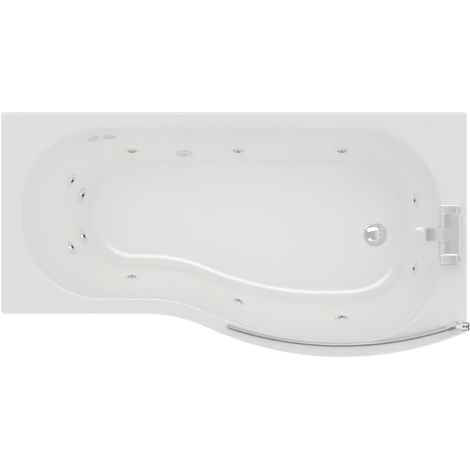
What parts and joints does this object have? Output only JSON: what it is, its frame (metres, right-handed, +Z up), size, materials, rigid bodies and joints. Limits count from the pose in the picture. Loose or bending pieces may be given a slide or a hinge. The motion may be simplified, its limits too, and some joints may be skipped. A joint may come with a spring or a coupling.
{
  "type": "jetted shower bath",
  "caption": "White acrylic shower bath with a swinging broad front, water jets, deck filler, pop-up waste, curved hinged glass screen, front panel and pump.",
  "frame": {"origin": "on the floor under the middle of the whole part's box", "axes": "+X towards the foot end with the filler, +Y towards the wall side, +Z up"},
  "size_m": [1.7, 0.895, 1.96],
  "materials": {
    "acrylic_white": "gloss acrylic",
    "panel_white": "gloss acrylic",
    "chrome": "polished plate",
    "jet_trim": "gloss moulding",
    "satin_trim": "satin plated moulding",
    "screen_silver": "polished silver",
    "screen_caps": "moulded",
    "screen_glass": "clear toughened",
    "screen_rubber": "soft strip",
    "black_rubber": "matt",
    "white_plumbing": "moulded pipe",
    "clear_air_pipe": "milky pipe",
    "brass": "machined",
    "pump_black": "glass filled moulding",
    "motor_grey": "painted casting",
    "zinc_steel": "zinc plated",
    "base_board": "bonded board",
    "timber": "planed softwood"
  },
  "bodies": {
    "bath": {"bath_shell": "acrylic_white", "front_panel": "panel_white", "waste_flange": "chrome", "overflow_rose": "chrome", "tap_body": "chrome", "jet_flanges": "jet_trim", "suction_cover": "satin_trim", "button_housing": "satin_trim", "air_housing": "satin_trim", "wall_channel": "screen_silver", "screen_post": "screen_silver", "screen_end_caps": "screen_caps", "tap_seal": "black_rubber", "seal_rings": "black_rubber", "foot_pads": "black_rubber", "pump_feet": "black_rubber", "button_bellows": "black_rubber", "water_main": "white_plumbing", "jet_bodies": "white_plumbing", "suction_body": "white_plumbing", "suction_pipe": "white_plumbing", "waste_body": "white_plumbing", "waste_trap": "white_plumbing", "waste_nut": "white_plumbing", "overflow_body": "white_plumbing", "overflow_pipe": "white_plumbing", "wall_nuts": "white_plumbing", "air_main": "clear_air_pipe", "air_valve": "clear_air_pipe", "tap_tails": "brass", "tap_nuts": "brass", "pump_volute": "pump_black", "pump_motor": "motor_grey", "leg_rails": "zinc_steel", "leg_studs": "zinc_steel", "leg_nuts": "zinc_steel", "panel_clips": "zinc_steel", "pump_base": "zinc_steel", "base_board": "base_board", "rim_battens": "timber"},
    "screen_leaf": {"screen_pivot": "screen_silver", "screen_glass": "screen_glass", "screen_seal": "screen_rubber"},
    "hot_handle": {"hot_lever": "chrome"},
    "cold_handle": {"cold_lever": "chrome"},
    "plug": {"waste_plug": "chrome"},
    "push_button": {"on_off_button": "satin_trim"},
    "air_knob": {"air_dial": "satin_trim"},
    "nozzle_01": {"jet_nozzle_01": "chrome"},
    "nozzle_02": {"jet_nozzle_02": "chrome"},
    "nozzle_03": {"jet_nozzle_03": "chrome"},
    "nozzle_04": {"jet_nozzle_04": "chrome"},
    "nozzle_05": {"jet_nozzle_05": "chrome"},
    "nozzle_06": {"jet_nozzle_06": "chrome"},
    "nozzle_07": {"jet_nozzle_07": "chrome"},
    "nozzle_08": {"jet_nozzle_08": "chrome"},
    "nozzle_09": {"jet_nozzle_09": "chrome"},
    "nozzle_10": {"jet_nozzle_10": "chrome"},
    "nozzle_11": {"jet_nozzle_11": "chrome"},
    "nozzle_12": {"jet_nozzle_12": "chrome"}
  },
  "joints": [
    {"name": "screen_swing", "type": "hinge", "parent": "bath", "child": "screen_leaf", "pos_m": [0.8015, -0.3295, 1.26], "axis": [0, 0, 1], "range_deg": [-60, 80]},
    {"name": "hot_turn", "type": "hinge", "parent": "bath", "child": "hot_handle", "pos_m": [0.806, 0.09, 0.61], "axis": [0, 0, 1], "range_deg": [-90, 0]},
    {"name": "cold_turn", "type": "hinge", "parent": "bath", "child": "cold_handle", "pos_m": [0.806, -0.09, 0.61], "axis": [0, 0, 1], "range_deg": [0, 90]},
    {"name": "plug_lift", "type": "slide", "parent": "bath", "child": "plug", "axis": [0, 0, 1], "range_m": [0, 0.012]},
    {"name": "button_press", "type": "slide", "parent": "bath", "child": "push_button", "axis": [-0.2055, 0.9035, -0.3762], "range_m": [0, 0.003], "stiffness_N_per_m": 800},
    {"name": "air_turn", "type": "hinge", "parent": "bath", "child": "air_knob", "pos_m": [-0.4556, 0.35693, 0.46769], "axis": [-0.001, 0.949, -0.3151], "range_deg": [0, 270]},
    {"name": "nozzle_tilt_01", "type": "hinge", "parent": "bath", "child": "nozzle_01", "pos_m": [-0.3723, 0.31705, 0.31885], "axis": [-1, 0, 0], "range_deg": [-12, 12]},
    {"name": "nozzle_tilt_02", "type": "hinge", "parent": "bath", "child": "nozzle_02", "pos_m": [0.0153, 0.31705, 0.31885], "axis": [-1, 0, 0], "range_deg": [-12, 12]},
    {"name": "nozzle_tilt_03", "type": "hinge", "parent": "bath", "child": "nozzle_03", "pos_m": [0.3944, 0.31705, 0.31885], "axis": [-1, 0, 0], "range_deg": [-12, 12]},
    {"name": "nozzle_tilt_04", "type": "hinge", "parent": "bath", "child": "nozzle_04", "pos_m": [-0.3723, -0.16592, 0.31906], "axis": [1, 0, 0], "range_deg": [-12, 12]},
    {"name": "nozzle_tilt_05", "type": "hinge", "parent": "bath", "child": "nozzle_05", "pos_m": [0.01247, -0.25361, 0.31893], "axis": [0.9549, -0.297, 0], "range_deg": [-12, 12]},
    {"name": "nozzle_tilt_06", "type": "hinge", "parent": "bath", "child": "nozzle_06", "pos_m": [0.39466, -0.31478, 0.34242], "axis": [0.9996, 0.0274, 0], "range_deg": [-12, 12]},
    {"name": "nozzle_tilt_07", "type": "hinge", "parent": "bath", "child": "nozzle_07", "pos_m": [-0.60187, -0.05209, 0.31688], "axis": [0.502, -0.8649, 0], "range_deg": [-12, 12]},
    {"name": "nozzle_tilt_08", "type": "hinge", "parent": "bath", "child": "nozzle_08", "pos_m": [-0.60205, 0.20289, 0.3168], "axis": [-0.5004, -0.8658, 0], "range_deg": [-12, 12]},
    {"name": "nozzle_tilt_09", "type": "hinge", "parent": "bath", "child": "nozzle_09", "pos_m": [-0.56034, -0.01086, 0.22574], "axis": [0.3673, -0.9301, 0], "range_deg": [-12, 12]},
    {"name": "nozzle_tilt_10", "type": "hinge", "parent": "bath", "child": "nozzle_10", "pos_m": [-0.56466, 0.14761, 0.22565], "axis": [-0.3061, -0.952, 0], "range_deg": [-12, 12]},
    {"name": "nozzle_tilt_11", "type": "hinge", "parent": "bath", "child": "nozzle_11", "pos_m": [0.67079, -0.1275, 0.3187], "axis": [0.2335, 0.9724, 0], "range_deg": [-12, 12]},
    {"name": "nozzle_tilt_12", "type": "hinge", "parent": "bath", "child": "nozzle_12", "pos_m": [0.67403, 0.12686, 0.31883], "axis": [-0.1641, 0.9864, 0], "range_deg": [-12, 12]}
  ]
}
